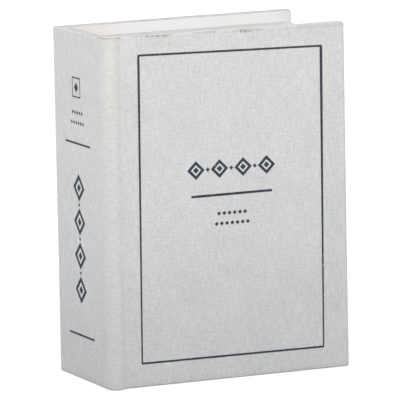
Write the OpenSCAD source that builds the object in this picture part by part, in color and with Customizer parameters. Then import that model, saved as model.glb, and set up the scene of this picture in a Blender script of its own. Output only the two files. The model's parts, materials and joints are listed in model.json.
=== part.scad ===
// Book box: a storage box made like a cloth-bound book. It stands on its tail edges.
// X runs across the front cover from the spine (low) to the fore-edge (high), Y from the
// front cover (low) to the back cover (high), and Z from the tail up to the head.
// Sizes are in millimetres.

/* [Book] */
// Width from the spine's outer face to the covers' fore-edge
book_w = 180; // [150:1:220]
// Depth from the front cover's face to the back cover's face
book_d = 86; // [64:1:110]
// Height from tail to head
book_h = 240; // [210:1:300]
// How much shorter the back cover is than the front cover, at the fore-edge
back_short = 2.5; // [0:0.5:3]

/* [Boards] */
// Thickness of the board inside each cover
cover_board_t = 5; // [4:0.5:6]
// Thickness of the board inside the spine
spine_board_t = 8; // [6:0.5:9]
// Thickness of the tray's four walls
wall_t = 6; // [5:0.5:8]
// Thickness of the tray's floor board
floor_t = 3; // [2:0.5:5]

/* [Cloth and papers] */
// Thickness of the linen book cloth
cloth_t = 0.6; // [0.4:0.1:0.8]
// Thickness of the white lining paper inside the covers
liner_t = 0.4; // [0.2:0.1:0.6]
// Width of cloth left in sight round the lining paper
liner_margin = 1; // [0.9:0.1:5]
// Thickness of the page-effect strips round the tray
page_t = 0.5; // [0.3:0.1:0.8]
// Thickness of the lining paper inside the tray and on its rim
lining_t = 0.3; // [0.2:0.1:0.6]

/* [Shoulder and joint] */
// Radius of the cloth-covered shoulder where spine and front cover meet
shoulder_r = 6.2; // [5.6:0.1:7.5]
// How far the shoulder stands in front of the front cover
shoulder_proud = 2.8; // [1.8:0.1:3.4]
// Depth of the shoulder moulding along the spine
shoulder_d = 10; // [9:0.5:16]
// Gap between the shoulder and the front cover's edge
groove_w = 1; // [0.8:0.1:2]
// How deep the hinge cloth lies behind the front cover's face
hinge_inset = 0.2; // [0.1:0.1:0.5]

/* [Page block] */
// How far the page block's head and tail lie inside the covers
head_recess = 8; // [5:0.5:12]
// How far the page block's fore-edge lies inside the covers
fore_recess = 7; // [5:0.5:12]
// Gap between the closed cover and the tray's rim
cover_gap = 0.4; // [0.3:0.1:1]

/* [Closure] */
// Diameter of the magnets that keep the cover shut
magnet_d = 4; // [3:0.5:4.5]
// Thickness of each magnet
magnet_t = 2; // [1:0.5:3]
// Distance of each magnet from the head or the tail
magnet_inset = 60; // [30:1:90]
// Clearance round a magnet in its hole
magnet_fit = 0.1; // [0.05:0.05:0.3]

/* [Print on the front cover] */
// How deep the print is pressed into the cloth
print_t = 0.15; // [0.1:0.05:0.3]
// Width of the thin lines of frame and square
line_w = 0.9; // [0.6:0.1:1.5]
// Distance from the shoulder side of the front cover to the frame
frame_hinge_margin = 11.7; // [8:0.1:16]
// Distance from the fore-edge to the frame
frame_fore_margin = 18.3; // [10:0.1:26]
// Distance from the head to the frame
frame_head_margin = 13.7; // [8:0.1:20]
// Distance from the tail to the frame
frame_tail_margin = 15.8; // [8:0.1:20]
// Length of the short rule inside the frame
rule_l = 60.4; // [40:0.1:80]
// Width of the short rule
rule_w = 1.7; // [0.8:0.1:2.4]
// Height of the short rule above the tail
rule_z = 127.6; // [100:0.1:150]
// Height of the framed lozenges in the ornament over the rule
ornament_h = 13; // [11:0.5:16]
// Width of their line
framed_line_w = 1.9; // [1:0.1:2.2]
// Width across the small lozenge in each of them
bead_w = 4.4; // [3:0.1:6]
// Gap from tip to tip along that ornament
ornament_gap = 0.8; // [0.5:0.1:2]
// Distance from the rule up to the middle of that ornament
ornament_rise = 18; // [12:0.5:30]
// Number of framed lozenges in each ornament
framed_count = 4; // [3:1:5]
// Distance from the rule down to the middle of the two rows of small lozenges
rows_drop = 16.5; // [12:0.5:30]
// Number of small lozenges in the lower row
row_count = 7; // [4:1:9]
// Distance between two rows of small lozenges
row_step = 7; // [5:0.5:9]
// Width across one small lozenge
lozenge_w = 3; // [2:0.1:3.5]
// Gap between the small lozenges of a row
lozenge_gap = 0.9; // [0.5:0.1:1.5]

/* [Print on the spine] */
// Outer width of the square near the head
square_w = 14; // [10:0.5:20]
// Height of the square's middle above the tail
square_z = 202.6; // [190:0.1:205]
// Height of the middle of the two rows of small lozenges above the tail
spine_rows_z = 181.5; // [176:0.1:184]
// Number of small lozenges in the lower row on the spine
spine_row_count = 6; // [4:1:8]
// Length of the two rules across the spine
spine_rule_l = 43; // [30:1:50]
// Height of the upper rule above the tail
upper_rule_z = 164; // [150:0.5:170]
// Height of the lower rule above the tail
lower_rule_z = 30.8; // [20:0.1:40]
// Width of the two rules across the spine
spine_rule_w = 1.4; // [0.8:0.1:2]
// Width of the framed lozenges in the upright ornament between the rules
spine_ornament_w = 19; // [15:0.5:21]
// Width of their line
spine_framed_line_w = 2.6; // [1:0.1:3]
// Width across the small lozenge in each of them
spine_bead_w = 6; // [4:0.1:9]
// Gap from tip to tip along that ornament
spine_ornament_gap = 0.8; // [0.5:0.1:3]

/* [Hidden] */
$fn = 64;

// Radii of the cloth where it turns over a board's outer and inner edges and round a corner
edge_r = 1.5 * cloth_t;
inner_r = 0.5 * cloth_t;
corner_r = 2.6 * cloth_t;
// Space for glue between the shoulder's round core and its cloth
glue_gap = 0.1;
// Overlap that keeps a cut clear of the face it starts from
cut = 1;

// Thickness of a finished cover and a finished spine, over the turned-in cloth
cover_t = 2 * cloth_t + cover_board_t;
spine_t = 2 * cloth_t + spine_board_t;
// Inner faces of the lined spine, the lined back cover and the closed front cover
spine_inner = cloth_t + spine_board_t + liner_t;
back_inner = book_d - cloth_t - cover_board_t - liner_t;
rim_y = cover_t + cover_gap;

// The shoulder's middle line
shoulder_x = shoulder_r;
shoulder_y = shoulder_r - shoulder_proud;
core_r = shoulder_r - cloth_t - glue_gap;
// Front cover's edge beside the joint
cover_x0 = 2 * shoulder_r + groove_w;
// Back cover's fore-edge
back_x1 = book_w - back_short;

// The tray with its page strips
tray_x0 = spine_inner;
tray_x1 = book_w - fore_recess;
// The back cover's lining paper reaches at least to the tray's fore-edge
back_liner_x1 = max(back_x1 - liner_margin, tray_x1);
tray_z0 = head_recess;
tray_z1 = book_h - head_recess;
// The tray's boards, inside the page strips
board_x1 = tray_x1 - page_t;
board_z0 = tray_z0 + page_t;
board_z1 = tray_z1 - page_t;
board_y0 = rim_y + lining_t;
floor_y = back_inner - floor_t;
// The space inside the walls, before it is lined
room_x0 = tray_x0 + wall_t;
room_x1 = board_x1 - wall_t;
room_z0 = board_z0 + wall_t;
room_z1 = board_z1 - wall_t;

// Places of the magnets
magnet_x = board_x1 - wall_t / 2;
magnet_zs = [magnet_inset, book_h - magnet_inset];
cover_board_back = cloth_t + cover_board_t;

// Places of the print
frame_x0 = cover_x0 + frame_hinge_margin;
frame_x1 = book_w - frame_fore_margin;
frame_z1 = book_h - frame_head_margin;
frame_mid_x = (frame_x0 + frame_x1) / 2;
spine_mid_y = (shoulder_d + book_d) / 2;

// The frame of the whole part: its middle across X and Y, its lowest point in Z
origin = [book_w / 2, (book_d - shoulder_proud) / 2, 0];

cloth_colour = [0.83, 0.83, 0.82];
board_colour = [0.72, 0.6, 0.45];
paper_colour = [0.94, 0.93, 0.92];
page_colour = [0.9, 0.89, 0.86];
ink_colour = [0.16, 0.18, 0.22];
metal_colour = [0.7, 0.71, 0.73];

// A cuboid between two corners
module block(low, high) {
    translate(low) cube(high - low);
}

// A rectangle between two corners, with one radius for each of its own corners, or 0 for a
// square one. They count from the low corner round against the clock.
module soft_rect(low, high, radii) {
    places = [low, [high.x, low.y], high, [low.x, high.y]];
    inward = [[1, 1], [-1, 1], [-1, -1], [1, -1]];
    difference() {
        translate(low) square(high - low);
        for (i = [0:3]) if (radii[i] > 0) {
            r = radii[i];
            difference() {
                translate(places[i] - [for (step = inward[i]) step > 0 ? cut : r]) square(r + cut);
                translate(places[i] + r * inward[i]) circle(r);
            }
        }
    }
}

// Three upright extrusions along the three axes, each from one side's outline
module along_z(z0, z1) {
    translate([0, 0, z0]) linear_extrude(z1 - z0) children();
}

module along_x(x0, x1) {
    translate([x0, 0, 0]) rotate([90, 0, 90]) linear_extrude(x1 - x0) children();
}

module along_y(y0, y1) {
    translate([0, y1, 0]) rotate([90, 0, 0]) linear_extrude(y1 - y0) children();
}

// A slab with rounded edges: plan, side and face hold the radii of its XY, YZ and XZ outlines
module soft_slab(low, high, plan, side, face) {
    intersection() {
        along_z(low.z, high.z) soft_rect([low.x, low.y], [high.x, high.y], plan);
        along_x(low.x, high.x) soft_rect([low.y, low.z], [high.y, high.z], side);
        along_y(low.y, high.y) soft_rect([low.x, low.z], [high.x, high.z], face);
    }
}

// The shoulder's plan outline, drawn in by some amount: a round nose on a straight stem
module shoulder_plan(inset, nose_r, stem_x1, back_y) {
    intersection() {
        translate([shoulder_x, shoulder_y]) circle(nose_r);
        translate([0, -shoulder_proud]) square([2 * shoulder_r, back_y + shoulder_proud]);
    }
    translate([inset, shoulder_y]) square([stem_x1 - inset, shoulder_d - shoulder_y]);
}

// Shapes of the print, in the plane of the paper
module lozenge(w, h) {
    polygon([[-w / 2, 0], [0, -h / 2], [w / 2, 0], [0, h / 2]]);
}

// A chain of framed lozenges, h high, with a small lozenge between each two
module lozenge_chain(h, line, bead, gap) {
    step = h + lozenge_w + 2 * gap;
    hole = h - 2 * sqrt(2) * line;
    for (i = [0:framed_count - 1]) {
        translate([(i - (framed_count - 1) / 2) * step, 0]) {
            difference() {
                lozenge(h, h);
                lozenge(hole, hole);
            }
            lozenge(bead, bead);
        }
    }
    lozenge_row(framed_count - 1, step);
}

module lozenge_row(count, step) {
    for (i = [0:count - 1]) {
        translate([(i - (count - 1) / 2) * step, 0]) lozenge(lozenge_w, lozenge_w);
    }
}

// A row of small lozenges over a row with one more
module lozenge_rows(count) {
    step = lozenge_w + lozenge_gap;
    translate([0, row_step / 2]) lozenge_row(count - 1, step);
    translate([0, -row_step / 2]) lozenge_row(count, step);
}

module line_frame(low, high) {
    difference() {
        translate(low) square(high - low);
        translate(low + [line_w, line_w]) square(high - low - 2 * [line_w, line_w]);
    }
}

module cover_print_shape() {
    line_frame([frame_x0, frame_tail_margin], [frame_x1, frame_z1]);
    translate([frame_mid_x - rule_l / 2, rule_z - rule_w / 2]) square([rule_l, rule_w]);
    translate([frame_mid_x, rule_z + ornament_rise])
        lozenge_chain(ornament_h, framed_line_w, bead_w, ornament_gap);
    translate([frame_mid_x, rule_z - rows_drop]) lozenge_rows(row_count);
}

module spine_print_shape() {
    half = square_w / 2;
    translate([spine_mid_y, square_z]) {
        line_frame([-half, -half], [half, half]);
        lozenge(half, half);
    }
    translate([spine_mid_y, spine_rows_z]) lozenge_rows(spine_row_count);
    for (z = [lower_rule_z, upper_rule_z]) {
        translate([spine_mid_y - spine_rule_l / 2, z - spine_rule_w / 2])
            square([spine_rule_l, spine_rule_w]);
    }
    translate([spine_mid_y, (lower_rule_z + upper_rule_z) / 2])
        rotate(90) lozenge_chain(spine_ornament_w, spine_framed_line_w, spine_bead_w, spine_ornament_gap);
}

module magnets(y0, d) {
    for (z = magnet_zs) {
        translate([magnet_x, y0, z]) rotate([-90, 0, 0]) cylinder(h = magnet_t, d = d);
    }
}

// Case: the shoulder, the spine and the back cover
module shoulder_core() {
    color(board_colour) along_z(cloth_t, book_h - cloth_t)
        shoulder_plan(cloth_t + glue_gap, core_r, spine_t - cloth_t, cover_t - cloth_t);
}

module spine_board() {
    color(board_colour)
        block([cloth_t, shoulder_d, cloth_t], [spine_t - cloth_t, book_d - cloth_t, book_h - cloth_t]);
}

module back_board() {
    color(board_colour) block(
        [spine_t, book_d - cloth_t - cover_board_t, cloth_t],
        [back_x1 - cloth_t, book_d - cloth_t, book_h - cloth_t]
    );
}

module shoulder_cloth() {
    ends = [edge_r, 0, 0, edge_r];
    color(cloth_colour) difference() {
        intersection() {
            along_z(0, book_h) shoulder_plan(0, shoulder_r, spine_inner, cover_t);
            along_x(0, 2 * shoulder_r)
                soft_rect([-shoulder_proud, 0], [shoulder_d, book_h], ends);
            along_y(-shoulder_proud, shoulder_d) soft_rect([0, 0], [2 * shoulder_r, book_h], ends);
        }
        along_z(cloth_t, book_h - cloth_t)
            shoulder_plan(cloth_t, shoulder_r - cloth_t, spine_t - cloth_t, cover_t - cloth_t);
    }
}

module spine_cloth() {
    color(cloth_colour) difference() {
        soft_slab(
            [0, shoulder_d, 0], [spine_t, book_d, book_h],
            [0, 0, 0, edge_r], [0, edge_r, edge_r, 0], [edge_r, 0, 0, edge_r]
        );
        spine_board();
        // The window that the lining paper fills
        block(
            [spine_t - cloth_t, shoulder_d - cut, liner_margin],
            [spine_t + cut, back_inner, book_h - liner_margin]
        );
        along_x(-cut, print_t) spine_print_shape();
    }
}

module back_cloth() {
    color(cloth_colour) difference() {
        soft_slab(
            [spine_t, book_d - cover_t, 0], [back_x1, book_d, book_h],
            [0, inner_r, edge_r, 0], [inner_r, edge_r, edge_r, inner_r], [0, corner_r, corner_r, 0]
        );
        back_board();
        block(
            [spine_t - cut, book_d - cover_t - cut, liner_margin],
            [back_liner_x1, book_d - cover_t + cloth_t, book_h - liner_margin]
        );
    }
}

module spine_liner() {
    color(paper_colour) block(
        [spine_t - cloth_t, shoulder_d, liner_margin],
        [spine_inner, back_inner, book_h - liner_margin]
    );
}

module back_liner() {
    color(paper_colour) block(
        [spine_t, back_inner, liner_margin],
        [back_liner_x1, back_inner + liner_t, book_h - liner_margin]
    );
}

// Page block: a tray of boards, with page strips outside and lining paper inside
module tray_floor() {
    color(board_colour) block([tray_x0, floor_y, board_z0], [board_x1, back_inner, board_z1]);
}

module tray_wall_spine() {
    color(board_colour) block([tray_x0, board_y0, room_z0], [room_x0, floor_y, room_z1]);
}

module tray_wall_head() {
    color(board_colour) block([tray_x0, board_y0, room_z1], [board_x1, floor_y, board_z1]);
}

module tray_wall_tail() {
    color(board_colour) block([tray_x0, board_y0, board_z0], [board_x1, floor_y, room_z0]);
}

module tray_wall_fore() {
    color(board_colour) difference() {
        block([room_x1, board_y0, room_z0], [board_x1, floor_y, room_z1]);
        translate([0, -cut, 0]) magnets(board_y0, magnet_d + 2 * magnet_fit);
        magnets(board_y0, magnet_d + 2 * magnet_fit);
    }
}

module head_pages() {
    color(page_colour) block([tray_x0, rim_y, board_z1], [tray_x1, back_inner, tray_z1]);
}

module tail_pages() {
    color(page_colour) block([tray_x0, rim_y, tray_z0], [tray_x1, back_inner, board_z0]);
}

module fore_pages() {
    color(page_colour) block([board_x1, rim_y, board_z0], [tray_x1, back_inner, board_z1]);
}

module tray_rim_paper() {
    color(page_colour) difference() {
        block([tray_x0, rim_y, board_z0], [board_x1, board_y0, board_z1]);
        block([room_x0, rim_y - cut, room_z0], [room_x1, board_y0 + cut, room_z1]);
    }
}

module lining_floor() {
    color(paper_colour) block([room_x0, floor_y - lining_t, room_z0], [room_x1, floor_y, room_z1]);
}

module lining_spine() {
    color(paper_colour)
        block([room_x0, rim_y, room_z0], [room_x0 + lining_t, floor_y - lining_t, room_z1]);
}

module lining_fore() {
    color(paper_colour)
        block([room_x1 - lining_t, rim_y, room_z0], [room_x1, floor_y - lining_t, room_z1]);
}

module lining_head() {
    color(paper_colour) block(
        [room_x0 + lining_t, rim_y, room_z1 - lining_t],
        [room_x1 - lining_t, floor_y - lining_t, room_z1]
    );
}

module lining_tail() {
    color(paper_colour) block(
        [room_x0 + lining_t, rim_y, room_z0],
        [room_x1 - lining_t, floor_y - lining_t, room_z0 + lining_t]
    );
}

module tray_magnets() {
    color(metal_colour) magnets(board_y0, magnet_d);
}

// Joint: two plies that lie in the groove and bend when the cover opens
module hinge_ply(y0, t) {
    // Where the shoulder's round face passes the back of this ply
    reach = sqrt(pow(shoulder_r, 2) - pow(shoulder_y - y0 - t, 2));
    block([shoulder_x + reach + glue_gap, y0, cloth_t], [cover_x0, y0 + t, book_h - cloth_t]);
}

module hinge_cloth() {
    color(cloth_colour) hinge_ply(hinge_inset, cloth_t);
}

module hinge_liner() {
    color(paper_colour) hinge_ply(hinge_inset + cloth_t, liner_t);
}

// Front cover
module front_board() {
    color(board_colour) difference() {
        block([cover_x0 + cloth_t, cloth_t, cloth_t], [book_w - cloth_t, cover_board_back, book_h - cloth_t]);
        magnets(cover_board_back - magnet_t, magnet_d + 2 * magnet_fit);
        translate([0, cut, 0]) magnets(cover_board_back - magnet_t, magnet_d + 2 * magnet_fit);
    }
}

module front_cloth() {
    color(cloth_colour) difference() {
        soft_slab(
            [cover_x0, 0, 0], [book_w, cover_t, book_h],
            [edge_r, edge_r, inner_r, inner_r], [edge_r, inner_r, inner_r, edge_r],
            [edge_r, corner_r, corner_r, edge_r]
        );
        block([cover_x0 + cloth_t, cloth_t, cloth_t], [book_w - cloth_t, cover_board_back, book_h - cloth_t]);
        block(
            [cover_x0 + liner_margin, cover_board_back - cut, liner_margin],
            [book_w - liner_margin, cover_t + cut, book_h - liner_margin]
        );
        along_y(-cut, print_t) cover_print_shape();
    }
}

module front_liner() {
    color(paper_colour) block(
        [cover_x0 + liner_margin, cover_board_back, liner_margin],
        [book_w - liner_margin, cover_board_back + liner_t, book_h - liner_margin]
    );
}

module cover_magnets() {
    color(metal_colour) magnets(cover_board_back - magnet_t, magnet_d);
}

// Print, pressed into the cloth and level with it
module spine_print() {
    color(ink_colour) along_x(0, print_t) spine_print_shape();
}

module cover_print() {
    color(ink_colour) along_y(0, print_t) cover_print_shape();
}

translate(-origin) {
    shoulder_core();
    spine_board();
    back_board();
    shoulder_cloth();
    spine_cloth();
    back_cloth();
    spine_liner();
    back_liner();
    tray_floor();
    tray_wall_spine();
    tray_wall_head();
    tray_wall_tail();
    tray_wall_fore();
    head_pages();
    tail_pages();
    fore_pages();
    tray_rim_paper();
    lining_floor();
    lining_spine();
    lining_head();
    lining_tail();
    lining_fore();
    tray_magnets();
    hinge_cloth();
    hinge_liner();
    spine_print();
    front_board();
    front_cloth();
    front_liner();
    cover_magnets();
    cover_print();
}
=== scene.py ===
"""Looks of the book box: case cloth, lining papers, page strips, print, materials, light and camera.

The frame is in metres. Values here are in the book's millimetres, with X from the spine's outer face, Y
from the front cover's face and Z from the tail. at() turns them into the frame.
"""

import json
import math

import bpy
import numpy as np
from mathutils import Matrix, Vector


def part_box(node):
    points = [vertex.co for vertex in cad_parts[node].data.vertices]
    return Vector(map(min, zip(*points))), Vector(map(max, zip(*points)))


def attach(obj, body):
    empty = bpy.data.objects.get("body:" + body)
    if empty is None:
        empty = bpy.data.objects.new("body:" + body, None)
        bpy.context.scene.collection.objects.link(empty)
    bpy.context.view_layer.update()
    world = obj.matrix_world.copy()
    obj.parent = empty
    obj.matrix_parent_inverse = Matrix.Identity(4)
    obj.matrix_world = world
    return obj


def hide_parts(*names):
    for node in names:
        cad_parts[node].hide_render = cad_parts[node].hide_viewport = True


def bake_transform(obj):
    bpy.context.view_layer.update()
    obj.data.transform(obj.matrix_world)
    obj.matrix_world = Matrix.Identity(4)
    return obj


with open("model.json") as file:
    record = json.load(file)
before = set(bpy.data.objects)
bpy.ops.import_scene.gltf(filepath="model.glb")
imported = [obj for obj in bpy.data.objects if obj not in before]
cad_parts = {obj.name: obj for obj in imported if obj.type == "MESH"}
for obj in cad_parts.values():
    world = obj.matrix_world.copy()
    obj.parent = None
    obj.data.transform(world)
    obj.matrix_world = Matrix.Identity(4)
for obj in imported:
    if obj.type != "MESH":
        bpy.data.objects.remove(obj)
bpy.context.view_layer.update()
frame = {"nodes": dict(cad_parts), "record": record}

MM = 0.001
# The frame's origin in the book's millimetres
ORIGIN_X = 90.0
ORIGIN_Y = 41.6

# Size over the covers; the back cover ends at BACK_X
BOOK_W = 180.0
BOOK_H = 240.0
BOOK_D = 86.0
BACK_X = 177.5

# The cloth, the radii of its rims and corners, and its turn-ins
CLOTH_T = 0.6
RIM_R = 1.0
INNER_RIM_R = 0.5
CORNER_R = 1.7
TURN_IN = 15.0

# The shoulder's middle line and radius, and edges and faces inside
SHOULDER_X = 6.2
SHOULDER_Y = 3.4
SHOULDER_R = 6.2
COVER_EDGE_X = 13.4
COVER_INNER_Y = 6.2
SPINE_INNER_X = 9.0
BACK_INNER_Y = 79.8
TRAY_FORE_X = 173.0
TRAY_Z = (8.0, 232.0)

PAPER_T = 0.12
# How far the print stands out of the cloth and reaches into it
INK_PROUD = 0.05
INK_DEPTH = 0.12


def at(x, y, z):
    """A point in the book's millimetres, in the frame's metres."""
    return (MM * (x - ORIGIN_X), MM * (y - ORIGIN_Y), MM * z)


def in_book(p):
    """A point of the frame, in the book's millimetres."""
    return (p.x / MM + ORIGIN_X, p.y / MM + ORIGIN_Y, p.z / MM)


def on_cover(x, z, depth):
    return (x, depth, z)


def on_spine(y, z, depth):
    return (depth, y, z)


# Small tools

WAVE_GAIN = 1.6


def waves(seed, count, longest, shortest):
    """A smooth seeded function of one value in mm, about -1 to 1."""
    rng = np.random.default_rng(seed)
    lengths = np.geomspace(longest, shortest, count)
    phases = rng.uniform(0, 2 * math.pi, count)
    gains = rng.uniform(0.5, 1.0, count)
    total = gains.sum()

    def value(t):
        turns = np.multiply.outer(np.asarray(t, float), 2 * math.pi / lengths)
        return (gains * np.sin(turns + phases)).sum(-1) / total * WAVE_GAIN

    return value


def smooth_step(t):
    """0 up to t = 0, 1 from t = 1 on, smooth in between."""
    t = min(max(t, 0.0), 1.0)
    return t * t * (3 - 2 * t)


def placed(name, data):
    """A new object in the scene."""
    made = bpy.data.objects.new(name, data)
    bpy.context.scene.collection.objects.link(made)
    return made


def build(name, verts, faces, uvs, material, sharp=40.0):
    """A mesh object from points in book millimetres, with the map "cloth" in millimetres per corner."""
    mesh = bpy.data.meshes.new(name)
    mesh.from_pydata([at(*v) for v in verts], [], faces)
    layer = mesh.uv_layers.new(name="cloth")
    flat = [c for corner_list in uvs for c in corner_list]
    layer.data.foreach_set("uv", np.array(flat, np.float32).ravel())
    mesh.materials.append(material)
    mesh.polygons.foreach_set("use_smooth", [True] * len(mesh.polygons))
    mesh.set_sharp_from_angle(angle=math.radians(sharp))
    mesh.update()
    return placed(name, mesh)


def add(tree, kind, inputs=None, **settings):
    """A node with its settings and its inputs, each of them a value or a socket."""
    made = tree.nodes.new(kind)
    for key, value in settings.items():
        setattr(made, key, value)
    for key, value in (inputs or {}).items():
        if isinstance(value, bpy.types.NodeSocket):
            tree.links.new(value, made.inputs[key])
        else:
            made.inputs[key].default_value = value
    return made


def calc(tree, operation, a, b=0.0):
    return add(tree, "ShaderNodeMath", {0: a, 1: b}, operation=operation).outputs[0]


def times(tree, a, b):
    return calc(tree, "MULTIPLY", a, b)


def ramp(tree, value, low, high, out_low=0.0, out_high=1.0, curve="SMOOTHSTEP"):
    """out_low where the value is up to low, out_high from high on, and the curve in between."""
    inputs = {"Value": value, "From Min": low, "From Max": high, "To Min": out_low, "To Max": out_high}
    return add(tree, "ShaderNodeMapRange", inputs, interpolation_type=curve).outputs["Result"]


def fall(tree, value, low, high):
    """1 where the value is up to low, and 0 from high on."""
    return ramp(tree, value, low, high, 1.0, 0.0)


def band(tree, value, low, high, soft):
    """1 where the value lies from low to high, with soft ends."""
    rise = ramp(tree, value, low - soft, low + soft)
    return times(tree, rise, fall(tree, value, high - soft, high + soft))


def noise(tree, coords, stretch, detail, rough, shift=(0.0, 0.0, 0.0)):
    """Noise of about 0 to 1 over coordinates in mm; stretch holds the waves per mm along each axis."""
    mapped = add(tree, "ShaderNodeMapping", {"Vector": coords, "Scale": stretch, "Location": shift})
    inputs = {"Vector": mapped.outputs["Vector"], "Scale": 1.0, "Detail": detail, "Roughness": rough}
    return add(tree, "ShaderNodeTexNoise", inputs).outputs["Fac"]


def tint(tree, fac, a, b):
    """The colour a where fac is 0, b where it is 1."""
    a, b = (c if isinstance(c, bpy.types.NodeSocket) else (*c, 1.0) for c in (a, b))
    return add(tree, "ShaderNodeMix", {0: fac, 6: a, 7: b}, data_type="RGBA").outputs[2]


def between(tree, fac, a, b):
    """The same for numbers."""
    return add(tree, "ShaderNodeMix", {0: fac, 2: a, 3: b}, data_type="FLOAT").outputs[0]


def scaled(tree, colour, factor):
    return add(tree, "ShaderNodeVectorMath", {0: colour, "Scale": factor}, operation="SCALE").outputs[0]


def split(tree, vector):
    parts = add(tree, "ShaderNodeSeparateXYZ", {"Vector": vector}).outputs
    return parts["X"], parts["Y"], parts["Z"]


def new_material(name, roughness, specular, metallic=0.0):
    material = bpy.data.materials.new(name)
    material.use_nodes = True
    tree = material.node_tree
    shader = next(n for n in tree.nodes if n.type == "BSDF_PRINCIPLED")
    levels = {"Roughness": roughness, "Specular IOR Level": specular, "Metallic": metallic}
    for key, value in levels.items():
        shader.inputs[key].default_value = value
    return material, tree, shader


def paint(tree, shader, colour):
    tree.links.new(colour, shader.inputs["Base Color"])


def emboss(tree, shader, height, depth, strength):
    """Fine relief, with its depth in metres."""
    bump = add(tree, "ShaderNodeBump", {"Height": height, "Distance": depth, "Strength": strength})
    tree.links.new(bump.outputs["Normal"], shader.inputs["Normal"])


def map_coords(tree):
    """Millimetres over the cloth or paper, from the piece's own map."""
    return add(tree, "ShaderNodeUVMap", uv_map="cloth").outputs["UV"]


def object_coords(tree):
    """Millimetres in the frame, for the pieces that come from the frame."""
    return scaled(tree, add(tree, "ShaderNodeTexCoord").outputs["Object"], 1 / MM)


# Materials

CLOTH_COLOUR = (0.690, 0.681, 0.667)
SHOULDER_COLOUR = (0.730, 0.711, 0.679)
WORN_COLOUR = (0.34, 0.27, 0.20)
SPECK_COLOUR = (0.30, 0.28, 0.25)
BARE_COLOUR = (0.84, 0.79, 0.72)
INK_COLOUR = (0.048, 0.056, 0.068)
LINING_COLOUR = (0.725, 0.717, 0.712)
GUTTER_COLOUR = (0.700, 0.672, 0.662)
# the page edges' own tone, darkened by painted shade of the recessed page block
SHADED_PAGE_COLOUR = (0.685, 0.688, 0.692)
RIM_PAPER_COLOUR = (0.68, 0.68, 0.67)
BOARD_COLOUR = (0.42, 0.28, 0.16)
MAGNET_COLOUR = (0.55, 0.56, 0.58)

# Patterns of the cloth: waves per mm along warp and weft, detail, roughness and shift
THREADS = {
    "warp": ((1.0, 0.10), 2.0, 0.6, (0.0, 0.0)),
    "warp_fine": ((2.6, 0.16), 1.0, 0.5, (31.0, 7.0)),
    "weft": ((0.15, 1.05), 2.0, 0.6, (3.0, 57.0)),
    "weft_fine": ((0.2, 2.6), 1.0, 0.5, (11.0, 91.0)),
    "grain": ((0.50, 0.56), 2.0, 0.5, (17.0, 23.0)),
    "cloud": ((0.035, 0.028), 3.0, 0.6, (5.0, 5.0)),
}
THREAD_PITCH = 0.56


def shares(*values):
    """How strongly the patterns show, in the order of THREADS."""
    return dict(zip(THREADS, values))


COVER_WEAVE = shares(0.32, 0.12, 0.31, 0.12, 0.25, 0.14)
SPINE_WEAVE = shares(0.46, 0.20, 0.26, 0.14, 0.26, 0.10)
SHOULDER_WEAVE = shares(0.07, 0.08, 0.36, 0.14, 0.24, 0.08)
CLOTH_RELIEF = shares(0.5, 0.5, 0.6, 0.5)
CROSS_SHADE = 0.025
CROSS_RELIEF = 0.18
CLOTH_SHEEN = 0.05
# The print, whose gaps let the cloth through
INK_GAPS = shares(0.8, 1.1, 0.8, 1.1)
INK_SHADE = {"warp": 0.9, "weft": 0.9, "cloud": 0.8}
INK_RELIEF = {"warp": 0.5, "weft": 0.5, "warp_fine": 0.5, "weft_fine": 0.5}

# The front piece's map runs along the case in U, from the spine's back corner, and up in V. The head's
# edge is at V 240. A span is (from, to, strength) along U.
COVER_MAP_START = 100.0
SPINE_END_U = (88.0, 94.0)
SHOULDER_U = (94.5, 111.5)
SHOULDER_SOFT = 4.0
# The head's rim: bare threads over a brown line with dark specks, and how far the line wanders up
BARE_SPANS = [
    (88.0, 112.0, 1.3), (115.0, 146.0, 0.6), (166.0, 183.0, 1.7),
    (195.0, 200.0, 1.2), (212.0, 219.0, 0.7),
]
WORN_SPANS = [
    (13.0, 25.0, 0.3), (87.0, 112.5, 1.6), (122.0, 130.0, 0.9),
    (131.5, 151.0, 0.8), (167.0, 184.0, 0.65), (195.5, 219.0, 0.4),
]
SPECK_SPANS = [(112.6, 114.6, 1.0), (131.5, 148.0, 1.1), (201.5, 211.5, 0.8)]
RIM_WANDER = [
    (92, 1.6), (124, 1.4), (136, 0.9), (141, 0.6), (185, 0.2), (207, -0.8), (219, -0.6), (262, 0)
]
BARE_V = (240.0, 240.6)
BARE_END_V = (242.2, 243.4)
WORN_V = (238.3, 240.0)
SPECK_V = (237.7, 240.1)
RIM_SOFT = 0.4
WORN_SHARE = 0.85
# Where painted shade and painted light fall on the front piece, and where a band under its head is
# darker
HEAD_EDGE_V = (237.3, 240.6)
HEAD_MARGIN_V = (231.0, 240.6)
SPINE_HEAD_U = (86.0, 92.0)
SPINE_HEAD_V = (240.2, 240.8)
HEAD_CORNER_U = (240.0, 250.0)
HEAD_CORNER_V = (236.2, 239.4)
FORE_RIM_U = (277.9, 279.4)
FORE_RIM_V = (20.0, 120.0)
FORE_HIGHLIGHT_U = (276.6, 277.6)
SPINE_BACK_U = (12.6, 14.6)
LIT_MIDDLE_V = (80.0, 175.0)
LIT_MIDDLE_END_U = (258.0, 268.0)
LOW_V = (25.0, 70.0)
LOW_END_U = (128.0, 145.0)
# The back piece's head and fore-edge
BACK_HEAD_V = (239.2, 240.2)
BACK_FORE_U = (176.4, 177.2)
BACK_EDGE_SHARE = 0.165

# The lining paper is darker and warmer towards the spine, and painted shade greys it a little at the
# fore-edge
GUTTER_X = (26.0, 58.0)
LINING_SHADE_X = (165.0, 171.0)
LINING_SHADE = 0.98
PAGE_LINE_WAVES = 3.2
PAGE_LINE_SHADE = 0.55


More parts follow.
